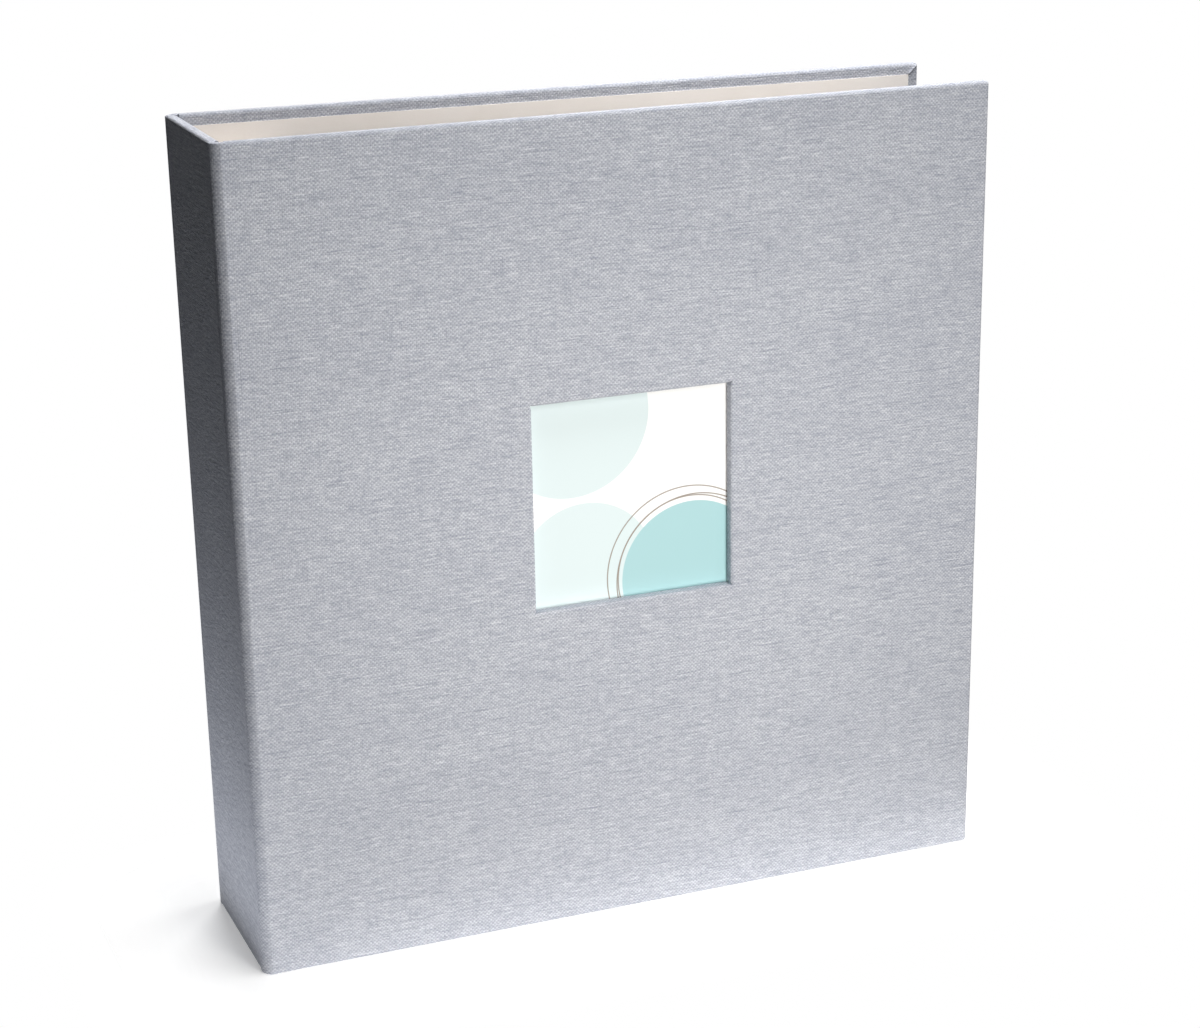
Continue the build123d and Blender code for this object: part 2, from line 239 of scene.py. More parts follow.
def book_cloth(name, settings):
    """Plain-woven cotton book cloth, two shades of yarn, glued down: matt, with a faint sheen.

    Light warp and darker weft yarns cross over and under like a chequerboard, which reads as a
    fine diagonal grain. Thick stretches of weft show as darker level streaks, and thick warp
    yarns as fainter upright ones. The real yarns lie about 0.4 mm apart; they are drawn coarser,
    at the size that the settings give, so that they show from across a room.
    """
    material, output = new_material(name)
    yarn = settings.yarn_spacing
    threads = add_node(material, "ShaderNodeUVMap", {"uv_map": "Threads"}).outputs[0]
    halves = add_node(material, "ShaderNodeVectorMath", {"operation": "SCALE"},
                      {0: threads, "Scale": math.pi / yarn}).outputs[0]
    wander = add_node(material, "ShaderNodeTexNoise", {}, {
        "Vector": threads, "Scale": 1 / (6 * MM), "Detail": 2.0,
        "Roughness": 0.6}).outputs["Color"]
    wandered = add_node(material, "ShaderNodeVectorMath", {"operation": "MULTIPLY_ADD"},
                        {0: wander, 1: (1.1, 1.1, 0.0), 2: halves}).outputs[0]
    parts = add_node(material, "ShaderNodeSeparateXYZ", {}, {0: wandered})
    warp = add_node(material, "ShaderNodeMath", {"operation": "SINE"},
                    {0: parts.outputs[0]}).outputs[0]
    weft = add_node(material, "ShaderNodeMath", {"operation": "SINE"},
                    {0: parts.outputs[1]}).outputs[0]
    crossing = add_node(material, "ShaderNodeMath", {"operation": "MULTIPLY"},
                        {0: warp, 1: weft}).outputs[0]
    over = add_node(material, "ShaderNodeMapRange", {"interpolation_type": "SMOOTHSTEP"}, {
        "Value": crossing, "From Min": -0.6, "From Max": 0.6}).outputs[0]

    def streaks(length, width, low, high, seed):
        """Noise drawn out into streaks of that length and width, as an amount from 0 to 1."""
        drawn = add_node(material, "ShaderNodeVectorMath", {"operation": "MULTIPLY_ADD"}, {
            0: threads, 1: (1 / length, 1 / width, 1.0), 2: (seed, seed * 0.7, seed)}).outputs[0]
        noise = add_node(material, "ShaderNodeTexNoise", {}, {
            "Vector": drawn, "Scale": 1.0, "Detail": 1.5, "Roughness": 0.55}).outputs["Fac"]
        return add_node(material, "ShaderNodeMapRange", {"interpolation_type": "SMOOTHSTEP"}, {
            "Value": noise, "From Min": low, "From Max": high}).outputs[0]

    def tinted(colour, shade, amount, strength):
        """The colour drawn towards a shade by an amount from 0 to 1, at most by strength."""
        share = add_node(material, "ShaderNodeMath", {"operation": "MULTIPLY"},
                         {0: amount, 1: strength}).outputs[0]
        return add_node(material, "ShaderNodeMix", {"data_type": "RGBA"}, {
            0: share, 6: colour, 7: shade}).outputs[2]

    colour = add_node(material, "ShaderNodeMix", {"data_type": "RGBA"}, {
        0: over, 6: linear(settings.weft_colour), 7: linear(settings.warp_colour)}).outputs[2]
    strength = settings.slub_strength
    # Each streak's size along the weft and along the warp, and the noise that it starts and ends at
    slub = streaks(15 * MM, 0.8 * MM, 0.52, 0.74, 3.1)  # thick stretches of weft
    fine = streaks(4 * MM, 0.45 * MM, 0.38, 0.72, 8.3)  # single darker weft yarns
    ends = streaks(0.6 * MM, 9 * MM, 0.50, 0.78, 5.7)  # thick warp yarns
    speck = streaks(1.0 * MM, 0.65 * MM, 0.38, 0.68, 21.3)  # darker crossings
    lump = streaks(2.8 * MM, 1.3 * MM, 0.30, 0.70, 33.7)  # uneven tension, in relief only
    pale = streaks(8 * MM, 0.6 * MM, 0.55, 0.75, 12.9)  # bleached stretches
    cloud = streaks(60 * MM, 22 * MM, 0.35, 0.65, 17.2)  # uneven dyeing
    for amount, share in ((slub, 0.85), (fine, 0.85), (ends, 0.50), (speck, 0.85), (cloud, 0.18)):
        colour = tinted(colour, linear(settings.slub_colour), amount, share * strength)
    colour = tinted(colour, linear(settings.highlight_colour), pale, 0.40)

    knuckle = add_node(material, "ShaderNodeMath", {"operation": "ABSOLUTE"},
                       {0: crossing}).outputs[0]
    ribbed = add_node(material, "ShaderNodeMath", {"operation": "MULTIPLY_ADD"},
                      {0: fine, 1: 0.7, 2: knuckle}).outputs[0]
    relief = add_node(material, "ShaderNodeMath", {"operation": "MULTIPLY_ADD"},
                      {0: speck, 1: 0.9, 2: ribbed}).outputs[0]
    uneven = add_node(material, "ShaderNodeMath", {"operation": "MULTIPLY_ADD"},
                      {0: lump, 1: 1.6, 2: relief}).outputs[0]
    bump = add_node(material, "ShaderNodeBump", {}, {
        "Height": uneven, "Strength": 0.35, "Distance": 0.22 * MM}).outputs[0]
    shader = add_node(material, "ShaderNodeBsdfPrincipled", {}, {
        "Base Color": colour, "Normal": bump, "Roughness": 0.86, "IOR": 1.5,
        "Specular IOR Level": 0.1, "Sheen Weight": 0.08, "Sheen Roughness": 0.5})
    material.node_tree.links.new(shader.outputs[0], output.inputs[0])
    return material


def paper(name, colour, shade, fibre=0.5 * MM, roughness=0.8, strength=0.12):
    """Uncoated paper from a roll: matt, with a fine felt mark and a faint clouding of its pulp."""
    material, output = new_material(name)
    place = add_node(material, "ShaderNodeTexCoord").outputs["Object"]
    felt = add_node(material, "ShaderNodeTexNoise", {}, {
        "Vector": place, "Scale": 1 / fibre, "Detail": 4.0, "Roughness": 0.6}).outputs["Fac"]
    cloud = add_node(material, "ShaderNodeTexNoise", {}, {
        "Vector": place, "Scale": 1 / (25 * MM), "Detail": 2.0}).outputs["Fac"]
    both = add_node(material, "ShaderNodeMath", {"operation": "MULTIPLY_ADD"},
                    {0: felt, 1: 0.6, 2: cloud}).outputs[0]
    amount = add_node(material, "ShaderNodeMapRange", {}, {
        "Value": both, "From Min": 0.5, "From Max": 1.1}).outputs[0]
    tint = add_node(material, "ShaderNodeMix", {"data_type": "RGBA"}, {
        0: amount, 6: linear(colour), 7: linear(shade)}).outputs[2]
    bump = add_node(material, "ShaderNodeBump", {}, {
        "Height": felt, "Strength": strength, "Distance": 0.05 * MM}).outputs[0]
    shader = add_node(material, "ShaderNodeBsdfPrincipled", {}, {
        "Base Color": tint, "Normal": bump, "Roughness": roughness, "IOR": 1.5,
        "Specular IOR Level": 0.3})
    material.node_tree.links.new(shader.outputs[0], output.inputs[0])
    return material


# The title card's print, in millimetres: each disc's and ring's place from the card's middle, aside
# and up, and its radius; half a ring's line; and how far ink spreads at an edge
PALE_DISCS = ((-22, 31.5, 30), (-17, -28, 27))
DEEP_DISC = (24.5, -33, 27.5)
RINGS = ((24, -32, 28.6), (25.5, -33.5, 30.6), (23, -31.5, 31.8))
HALF_LINE = 0.22
INK_EDGE = 0.12


def printed_card(name, settings):
    """Smooth white card with an offset print: two pale discs, a deeper one, and three thin rings.

    A disc is where the distance to its middle is under its radius; a ring is where that distance
    is within half a line's width of the ring's radius.
    """
    material, output = new_material(name)
    low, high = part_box("title_card")
    middle = (low + high) / 2
    place = add_node(material, "ShaderNodeTexCoord").outputs["Object"]
    flat = add_node(material, "ShaderNodeVectorMath", {"operation": "MULTIPLY"},
                    {0: place, 1: (1, 0, 1)}).outputs[0]

    def from_middle(side, rise):
        """Distance from a place on the card, given in millimetres from its middle."""
        centre = (middle.x + side * MM, 0, middle.z + rise * MM)
        return add_node(material, "ShaderNodeVectorMath", {"operation": "DISTANCE"},
                        {0: flat, 1: centre}).outputs[1]

    def inside(distance, radius):
        """1 within the radius and 0 outside it, over a printed edge's width."""
        return add_node(material, "ShaderNodeMapRange", {}, {
            "Value": distance, "From Min": (radius + INK_EDGE) * MM,
            "From Max": (radius - INK_EDGE) * MM}).outputs[0]

    def over(colour, ink, amount):
        """The colour with ink laid over it by an amount from 0 to 1."""
        return add_node(material, "ShaderNodeMix", {"data_type": "RGBA"}, {
            0: amount, 6: colour, 7: linear(ink)}).outputs[2]

    colour = linear(settings.card_colour)
    discs = [(*disc, settings.pale_ink) for disc in PALE_DISCS] + [(*DEEP_DISC, settings.deep_ink)]
    for side, rise, radius, ink in discs:
        colour = over(colour, ink, inside(from_middle(side, rise), radius))
    for side, rise, radius in RINGS:
        off = add_node(material, "ShaderNodeMath", {"operation": "SUBTRACT"},
                       {0: from_middle(side, rise), 1: radius * MM}).outputs[0]
        size = add_node(material, "ShaderNodeMath", {"operation": "ABSOLUTE"}, {0: off}).outputs[0]
        colour = over(colour, settings.line_ink, inside(size, HALF_LINE))
    shader = add_node(material, "ShaderNodeBsdfPrincipled", {}, {
        "Base Color": colour, "Roughness": 0.55, "IOR": 1.5, "Specular IOR Level": 0.4})
    material.node_tree.links.new(shader.outputs[0], output.inputs[0])
    return material


def grey_board(name):
    """Binder's board pressed from waste paper: grey-brown, with light and dark fibre flecks."""
    return paper(name, "#8C8376", "#655E54", fibre=0.9 * MM, roughness=0.92, strength=0.5)


def nickel_plate(name, roughness):
    """Bright nickel plate on steel: warm grey, with fine rub marks that blur its reflections."""
    material, output = new_material(name)
    place = add_node(material, "ShaderNodeTexCoord").outputs["Object"]
    marks = add_node(material, "ShaderNodeVectorMath", {"operation": "MULTIPLY"},
                     {0: place, 1: (1 / (0.3 * MM), 1 / (0.3 * MM), 1 / (9 * MM))}).outputs[0]
    noise = add_node(material, "ShaderNodeTexNoise", {}, {
        "Vector": marks, "Scale": 1.0, "Detail": 3.0, "Roughness": 0.6}).outputs["Fac"]
    rub = add_node(material, "ShaderNodeMapRange", {}, {
        "Value": noise, "To Min": roughness, "To Max": roughness + 0.16}).outputs[0]
    bump = add_node(material, "ShaderNodeBump", {}, {
        "Height": noise, "Strength": 0.08, "Distance": 0.02 * MM}).outputs[0]
    shader = add_node(material, "ShaderNodeBsdfPrincipled", {}, {
        "Base Color": linear("#CFCAC2"), "Metallic": 1.0, "Roughness": rub, "Normal": bump})
    material.node_tree.links.new(shader.outputs[0], output.inputs[0])
    return material


def sleeve_film(name, settings):
    """Clear cast polypropylene film: nearly colourless and glossy, frosted along its welds."""
    material, output = new_material(name)
    weld = add_node(material, "ShaderNodeAttribute", {"attribute_name": "Weld"}).outputs["Fac"]
    place = add_node(material, "ShaderNodeTexCoord").outputs["Object"]
    ripple = add_node(material, "ShaderNodeTexNoise", {}, {
        "Vector": place, "Scale": 1 / (35 * MM), "Detail": 1.0}).outputs["Fac"]
    bump = add_node(material, "ShaderNodeBump", {}, {
        "Height": ripple, "Strength": 0.3, "Distance": 0.8 * MM}).outputs[0]
    alpha = add_node(material, "ShaderNodeMapRange", {}, {
        "Value": weld, "To Min": settings.film_alpha, "To Max": 0.55}).outputs[0]
    rough = add_node(material, "ShaderNodeMapRange", {}, {
        "Value": weld, "To Min": 0.08, "To Max": 0.45}).outputs[0]
    shader = add_node(material, "ShaderNodeBsdfPrincipled", {}, {
        "Base Color": linear("#EEF1F3"), "Roughness": rough, "IOR": 1.49, "Alpha": alpha,
        "Normal": bump})
    material.node_tree.links.new(shader.outputs[0], output.inputs[0])
    return material


# ---- Settings that a user would change

class AlbumClothSettings(bpy.types.PropertyGroup):
    """Book cloth over the whole case."""

    yarn_spacing: bpy.props.FloatProperty(
        name="Yarn spacing", description="Distance between neighbouring yarns as drawn",
        default=0.72 * MM, subtype="DISTANCE", unit="LENGTH")
    warp_colour: bpy.props.StringProperty(
        name="Warp", description="Upright yarns, as an sRGB hex colour", default="#D8DAE0")
    weft_colour: bpy.props.StringProperty(
        name="Weft", description="Level yarns, as an sRGB hex colour", default="#B6B9C1")
    slub_colour: bpy.props.StringProperty(
        name="Slubs", description="Thick stretches of yarn, as an sRGB hex colour",
        default="#838899")
    highlight_colour: bpy.props.StringProperty(
        name="Pale yarns", description="Bleached stretches of yarn, as an sRGB hex colour",
        default="#EBECF0")
    slub_strength: bpy.props.FloatProperty(
        name="Slub strength", description="How far slubs darken the cloth",
        default=0.42, min=0, max=1, subtype="FACTOR")
    edge_round: bpy.props.FloatProperty(
        name="Edge rounding", description="Radius of the covered boards' edges",
        default=1.2 * MM, subtype="DISTANCE", unit="LENGTH")


class AlbumPaperSettings(bpy.types.PropertyGroup):
    """Endpapers, title card and pages."""

    endpaper_colour: bpy.props.StringProperty(
        name="Endpaper", description="Endpapers, as an sRGB hex colour", default="#FFF9F4")
    card_colour: bpy.props.StringProperty(
        name="Card", description="Unprinted title card, as an sRGB hex colour", default="#FCFCFB")
    pale_ink: bpy.props.StringProperty(
        name="Pale discs", description="Pale ink, as an sRGB hex colour", default="#DCE9EA")
    deep_ink: bpy.props.StringProperty(
        name="Deep disc", description="Deeper ink, as an sRGB hex colour", default="#ABD2D5")
    line_ink: bpy.props.StringProperty(
        name="Rings", description="Thin rings' ink, as an sRGB hex colour", default="#958A80")
    film_alpha: bpy.props.FloatProperty(
        name="Film opacity", description="How much the clear film hides",
        default=0.16, min=0, max=1, subtype="FACTOR")


class AlbumStageSettings(bpy.types.PropertyGroup):
    """Camera, lights and floor."""

    camera_place: bpy.props.FloatVectorProperty(
        name="Camera", description="Where the camera stands", size=3,
        default=(-0.33518, -0.85478, 0.43655), subtype="XYZ", unit="LENGTH")
    camera_turn: bpy.props.FloatProperty(
        name="Turn", description="Camera's angle round the album",
        default=math.radians(-21.37), subtype="ANGLE")
    camera_rise: bpy.props.FloatProperty(
        name="Rise", description="Camera's angle above level",
        default=math.radians(18.88), subtype="ANGLE")
    camera_roll: bpy.props.FloatProperty(
        name="Roll", description="Camera's roll about its own line of sight",
        default=math.radians(-1.10), subtype="ANGLE")
    lens: bpy.props.FloatProperty(
        name="Lens", description="Focal length on a 36 mm sensor", default=78.13, unit="CAMERA")
    shift: bpy.props.FloatVectorProperty(
        name="Shift", description="Lens shift across and up", size=2, default=(0.0068, 0.0468))
    key_power: bpy.props.FloatProperty(
        name="Softbox", description="Power of the softbox above",
        default=9.0, unit="POWER")
    low_power: bpy.props.FloatProperty(
        name="Low light", description="Power of the low light near the front cover",
        default=1.25, unit="POWER")
    front_power: bpy.props.FloatProperty(
        name="Front light", description="Power of the high front light",
        default=5.0, unit="POWER")
    side_power: bpy.props.FloatProperty(
        name="Side bounce", description="Power of the light that rises beside the spine",
        default=0.155, unit="POWER")
    gap_power: bpy.props.FloatProperty(
        name="Gap light", description="Power of the strip above the gap between the covers",
        default=0.11, unit="POWER")
    back_power: bpy.props.FloatProperty(
        name="Back fill", description="Power of the light behind the album",
        default=18.0, unit="POWER")
    ambient: bpy.props.FloatProperty(
        name="Room", description="How much the room itself lights matt surfaces",
        default=0.004, min=0)


SETTINGS = {"album_cloth": AlbumClothSettings, "album_paper": AlbumPaperSettings,
            "album_stage": AlbumStageSettings}


# ---- Book cloth on the case

TURN_IN = 16 * MM  # cloth turned over onto the boards' inner faces
FLAP = 12 * MM  # cloth turned in through the title window
CLOTH = 0.5 * MM  # one layer, with its glue
MARGIN = 4.0 * MM  # cloth left bare round the endpapers

# Steps of the cloth's mesh: round edges, beside them, and across flat cloth
FINE, NEAR, WIDE = 0.2 * MM, 1.0 * MM, 4.5 * MM
FOLDS = 6 * MM  # border with the corner folds, which is finely divided
BORDER = 20 * MM  # border that reaches past the turn-in
BESIDE_JOINT = 8 * MM
RIM_ROUND, CORNER_NICK = 1.0 * MM, 0.45 * MM  # window rim's radius, and reach of its slit corners


def slack(along, level):
    """How far the glued cloth stands off its board: slow waves, summed sines of both directions."""
    return 0.05 * MM * (np.sin(along / (31 * MM) + 1.3 * np.sin(level / (47 * MM)))
                        + np.sin(level / (26 * MM) + 1.7 * np.sin(along / (53 * MM)) + 2.0))


def rounded_rim(points, window, radius, notch):
    """Rounds the cloth's rim round the window, at both faces, and nicks its corners.

    A point is measured by its distance from the opening and its depth below the face, and moves in
    to a quarter circle of the radius in those two. At each corner, where the cloth is slit, points
    move out along the diagonal by the notch, which dies away over its own size.
    """
    (left, right), (bottom, top) = window
    along, depth, level = points.T
    beyond = np.stack([np.maximum(along - right, 0) - np.maximum(left - along, 0),
                       np.maximum(level - top, 0) - np.maximum(bottom - level, 0)], -1)
    at_edge = np.stack([1.0 * (along >= right) - (along <= left),
                        1.0 * (level >= top) - (level <= bottom)], -1)
    distance = np.linalg.norm(beyond, axis=1)
    outward = np.where(distance[:, None] > 1e-9, beyond, at_edge)
    outward = outward / np.maximum(np.linalg.norm(outward, axis=1, keepdims=True), 1e-9)
    for near in (depth, COVERED - depth):
        away = np.stack([np.minimum(distance - radius, 0), np.minimum(near - radius, 0)], -1)
        length = np.linalg.norm(away, axis=1)
        pull = np.maximum(1 - radius / np.maximum(length, 1e-9), 0)
        inner = near < radius
        points[:, 0] -= np.where(inner, outward[:, 0] * away[:, 0] * pull, 0)
        points[:, 2] -= np.where(inner, outward[:, 1] * away[:, 0] * pull, 0)
        inwards = np.where(depth < COVERED / 2, 1, -1)
        points[:, 1] += np.where(inner, -away[:, 1] * pull, 0) * inwards
    for x in (left, right):
        for z in (bottom, top):
            near = np.exp(-((along - x) ** 2 + (level - z) ** 2) / (1.2 * notch) ** 2)
            points[:, 0] += near * notch * np.sign(x - (left + right) / 2)
            points[:, 2] += near * notch * np.sign(z - (bottom + top) / 2)
    return points


def mitre(points, far):
    """Height of the folds at the fore-edge's corners on the inner face.

    Along the diagonal from each corner the cloth turned in from the end lies over the one from the
    fore-edge: a low ridge on the diagonal, and a thin step on the end's side of it.
    """
    along, depth, level = points.T
    from_side = far - along
    from_end = np.minimum(level, HEIGHT - level)
    across = from_side - from_end
    ridge = 0.45 * np.exp(-(across / (0.45 * MM)) ** 2)  # heights in millimetres
    step = 0.25 / (1 + np.exp(-across / (0.2 * MM))) * np.exp(-np.maximum(across, 0) / (1.5 * MM))
    shown = (depth > COVERED - 1e-6) & (from_side < TURN_IN) & (from_end < TURN_IN)
    corner = np.minimum(from_side, from_end)
    fade = np.clip(corner / (0.8 * MM), 0, 1) * np.clip((MARGIN - corner) / (0.3 * MM), 0, 1)
    return np.where(shown, (ridge + step) * MM * fade, 0)


def panel_cuts(start, far, wrapped, radius, window):
    """The planes that cut a covered panel into cells: along it, through it and up it.

    They lie close at rounded edges, folds and the window's rim, and wide apart on flat cloth.
    """
    inner_end = far - TURN_IN if wrapped else far
    along = [(start, start + BESIDE_JOINT, NEAR), (start + BESIDE_JOINT, far - BORDER, WIDE),
             (inner_end, inner_end, ENDS)]
    if wrapped:
        along += [(far - BORDER, far - FOLDS, NEAR), (far - FOLDS, far - radius, FINE),
                  (far - radius, far, FINE)]
    else:
        along += [(far - BORDER, far, 2 * NEAR)]
    level = [(0, radius, FINE), (radius, FOLDS, FINE), (FOLDS, BORDER, NEAR),
             (TURN_IN, TURN_IN, ENDS)]
    level += [(HEIGHT - b, HEIGHT - a, step) for a, b, step in level]
    level += [(BORDER, HEIGHT - BORDER, WIDE)]
    depth = [(0, radius, FINE), (radius, COVERED - radius, 0.6 * MM),
             (COVERED - radius, COVERED, FINE), (COVERED - CLOTH, COVERED - CLOTH, ENDS)]
    if window:
        rim, wall = 2.4 * MM, 3 * MM
        for row, (near, away) in zip((along, level), window):
            row += [(near - rim, near - radius, 0.4 * MM), (near - radius, near, FINE),
                    (near, near + wall, 0.6 * MM), (away - wall, away, 0.6 * MM),
                    (away, away + radius, FINE), (away + radius, away + rim, 0.4 * MM),
                    (near - FLAP, near - FLAP, ENDS), (away + FLAP, away + FLAP, ENDS)]
    return [cuts(*along), cuts(*depth), cuts(*level)]


def covered_panel(name, panel, start, far, wrapped, material, radius, window=None):
    """The cloth over one board of the case: outer face, rounded edges and turned-in borders.

    The skin of a block of cells whose middle, where the levelling card lies, is sunk by one
    thickness of cloth, and which the title window runs through. Its edges are rounded except at
    the joints, where the cloth runs on.
    """
    lines = panel_cuts(start, far, wrapped, radius, window)
    a, d, h = np.meshgrid(*[middles(row) for row in lines], indexing="ij")
    inner_end = far - TURN_IN if wrapped else far
    sunk = (d > COVERED - CLOTH) & (a < inner_end) & (h > TURN_IN) & (h < HEIGHT - TURN_IN)
    cut_out = np.zeros_like(sunk)
    if window:
        (left, right), (bottom, top) = window
        sunk &= ~((a > left - FLAP) & (a < right + FLAP) & (h > bottom - FLAP) & (h < top + FLAP))
        cut_out = (a > left) & (a < right) & (h > bottom) & (h < top)
    points, faces, axes = lattice_skin(lines, ~(sunk | cut_out))
    uv = panel_uv(points, faces, axes)
    flat = points.copy()
    low = np.array((-1.0, 0, 0))
    high = np.array((far if wrapped else 1.0, COVERED, HEIGHT))
    points = rounded(points, low, high, radius)
    if window:
        points = rounded_rim(points, window, RIM_ROUND, CORNER_NICK)
    if wrapped:
        points[:, 1] += mitre(flat, far)
    outer = np.clip(1 - flat[:, 1] / (1.5 * MM), 0, 1)
    points[:, 1] += slack(flat[:, 0], flat[:, 2]) * outer
    return make_piece(name, placed(panel, points), faces, material, uv, flip=left_handed(panel))


CREASE = 3.2 * MM  # size of the bend at a joint's outer corner
FLAT_SHARE = 0.22  # share of a joint's width that lies flat on each side of the bend
JOINT_CLOTH = 0.9 * MM  # two layers of cloth and their glue
JOINT_ROUND = 0.44 * MM  # radius of the joint cloth's ends
FOLD_EXTRA, FOLD_REACH = 2.2, 5 * MM  # how much thicker the cloth is at a fold, and how far


def joint_band(name, centre, radius, angles, material):
    """Two glued layers of cloth round a joint, from the spine to a cover.

    A long thin block with rounded ends, bent: it runs on flat beyond each board, and between the
    flats the distance along it becomes the angle about an upright axis, halfway between an arc and
    its chord because the cloth is creased. Its depth lies inwards. Near both ends it thickens, by
    a bell curve of the distance from the end, where the cloth is folded in.
    """
    span = radius * abs(angles[1] - angles[0])
    end = 1.2 * MM
    lines = [stretch(0, span, 0.3 * MM), stretch(0, JOINT_CLOTH, 0.15 * MM),
             cuts((0, end, 0.15 * MM), (end, HEIGHT - end, 3 * MM),
                  (HEIGHT - end, HEIGHT, 0.15 * MM))]
    filled = np.ones([len(row) - 1 for row in lines], bool)
    points, faces, axes = lattice_skin(lines, filled)
    corner = points[faces]
    past_end = np.where((axes == 2)[:, None], corner[..., 1], 0)
    uv = np.stack([CORNER - span + corner[..., 0], corner[..., 2] + past_end], -1)
    low, high = np.array((-1.0, 0, 0)), np.array((1.0, JOINT_CLOTH, HEIGHT))
    points = rounded(points, low, high, JOINT_ROUND)
    from_end = np.minimum(points[:, 2:], HEIGHT - points[:, 2:])
    depth = points[:, 1:2] * (1 + FOLD_EXTRA * np.exp(-(from_end / FOLD_REACH) ** 2))
    share = points[:, :1] / span
    bend = np.clip((share - FLAT_SHARE) / (1 - 2 * FLAT_SHARE), 0, 1)
    angle = angles[0] + (angles[1] - angles[0]) * bend
    ends = [np.array((math.cos(a), math.sin(a))) for a in angles]
    arc = np.hstack([np.cos(angle), np.sin(angle)])
    chord = ends[0] + (ends[1] - ends[0]) * bend
    flats = (np.clip(share / FLAT_SHARE, 0, 1) * ends[1]
             + np.clip((1 - share) / FLAT_SHARE, 0, 1) * ends[0])
    place = np.array(centre) + (radius - CREASE) * flats + CREASE * (arc + chord) / 2 - depth * arc
    bent = np.hstack([place, points[:, 2:]])
    return make_piece(name, bent, faces, material, uv)


def settings_of(context, key):
    """The scene's settings group of that name."""
    return getattr(context.scene, key)


def shared(name, build, *arguments):
    """The material of that name, made the first time it is asked for."""
    return bpy.data.materials.get(name) or build(name, *arguments)


def case_cloth(context):
    """The book cloth that every covered panel and joint shares."""
    return shared("book_cloth_woven_cotton", book_cloth, settings_of(context, "album_cloth"))


class ALBUM_OT_front_cover_cloth(bpy.types.Operator):
    """Covers the front board in cloth, with the title window and its turned-in flaps"""

    bl_idname = "album.front_cover_cloth"
    bl_label = "Front cover cloth"

    def execute(self, context):
        low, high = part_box("window_cloth")
        window = ((low.x + FLAP - SPINE_X, high.x - FLAP - SPINE_X),
                  (low.z + FLAP, high.z - FLAP))
        piece = covered_panel("front_cover_cloth", FRONT, CORNER, FAR, True, case_cloth(context),
                              settings_of(context, "album_cloth").edge_round, window)
        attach(piece, "front_cover")
        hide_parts("front_cloth", "window_cloth")
        return {"FINISHED"}


class ALBUM_OT_back_cover_cloth(bpy.types.Operator):
    """Covers the leaning back board in cloth"""

    bl_idname = "album.back_cover_cloth"
    bl_label = "Back cover cloth"

    def execute(self, context):
        piece = covered_panel("back_cover_cloth", BACK, CORNER, FAR, True, case_cloth(context),
                              settings_of(context, "album_cloth").edge_round)
        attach(piece, "back_cover")
        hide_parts("back_cloth")
        return {"FINISHED"}


class ALBUM_OT_spine_cloth(bpy.types.Operator):
    """Covers the spine board in cloth that runs on round both joints"""

    bl_idname = "album.spine_cloth"
    bl_label = "Spine and joint cloth"

    def execute(self, context):
        material = case_cloth(context)
        spine = covered_panel("spine_cover_cloth", SPINE, CORNER, SPINE_FAR, False, material,
                              settings_of(context, "album_cloth").edge_round)
        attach(spine, "spine")
        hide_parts("spine_cloth")
        front = joint_band("front_joint_cloth", (SPINE_X + CORNER, FRONT_Y + CORNER), CORNER,
                           (math.pi, 1.5 * math.pi), material)
        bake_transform(front)
        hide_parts("front_hinge_cloth")
        lean = math.acos(ALONG_BACK[0])
        radius = HINGE_IN + (CORNER - HINGE_IN) * math.cos(lean) / (1 + math.sin(lean))
        centre = (SPINE_X + radius, -FRONT_Y - CORNER)
        back = joint_band("back_joint_cloth", centre, radius, (math.pi / 2 - lean, math.pi),
                          material)
        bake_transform(back)
        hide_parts("back_hinge_cloth")
        return {"FINISHED"}


class ALBUM_OT_boards_and_papers(bpy.types.Operator):
    """Finishes the boards, levelling cards, endpapers, spine lining and card pocket"""

    bl_idname = "album.boards_and_papers"
    bl_label = "Boards and papers"

    def execute(self, context):
        colours = settings_of(context, "album_paper")
        board = shared("binders_board_pressed", grey_board)
        for panel in ("front", "spine", "back"):
            finish_node(f"{panel}_board", board)
            finish_node(f"{panel}_infill", board)
        endpaper = shared("endpaper_uncoated", paper, colours.endpaper_colour, "#F8F1EA")
        for name in ("front_endpaper", "back_endpaper"):
            finish_node(name, endpaper)
        finish_node("card_pocket", shared("pocket_uncoated_card", paper, "#EDE5DD", "#E2D9D0"))
        finish_node("spine_lining", shared("lining_paper_uncoated", paper, "#EDE6DF", "#E3DBD3"))
        return {"FINISHED"}


class ALBUM_OT_title_card(bpy.types.Operator):
    """Prints the title card with plain discs and rings"""

    bl_idname = "album.title_card"
    bl_label = "Title card"

    def execute(self, context):
        finish_node("title_card", shared("title_card_offset_printed", printed_card,
                                         settings_of(context, "album_paper")))
        return {"FINISHED"}


class ALBUM_OT_ring_metal(bpy.types.Operator):
    """Finishes the ring metal: cover plate, rings, rails, levers and rivets"""

    bl_idname = "album.ring_metal"
    bl_label = "Ring metal"

    def execute(self, context):
        plate = shared("nickel_plate_pressed", nickel_plate, 0.20)
        wire = shared("nickel_plate_drawn_wire", nickel_plate, 0.12)
        finish_node("ring_cover_plate", plate)
        halves = [f"ring_{half}_{number}" for half in ("post", "arch") for number in (1, 2, 3)]
        for name in ("post_rail", "arch_rail", "lever_pins", "plate_rivets", "top_lever",
                     "bottom_lever", *halves):
            finish_node(name, wire)
        return {"FINISHED"}


def extents(node, panel):
    """Lowest and highest place of a CAD node's vertices along a panel, into the album and up."""
    vertices = np.empty(3 * len(frame["nodes"][node].data.vertices))
    frame["nodes"][node].data.vertices.foreach_get("co", vertices)
    origin, along, into = panel
    places = (vertices.reshape(-1, 3) - origin) @ np.stack([along, into, UP], 1)
    return places.min(0), places.max(0)


WELD = 3 * MM  # width of a sleeve's welded edge


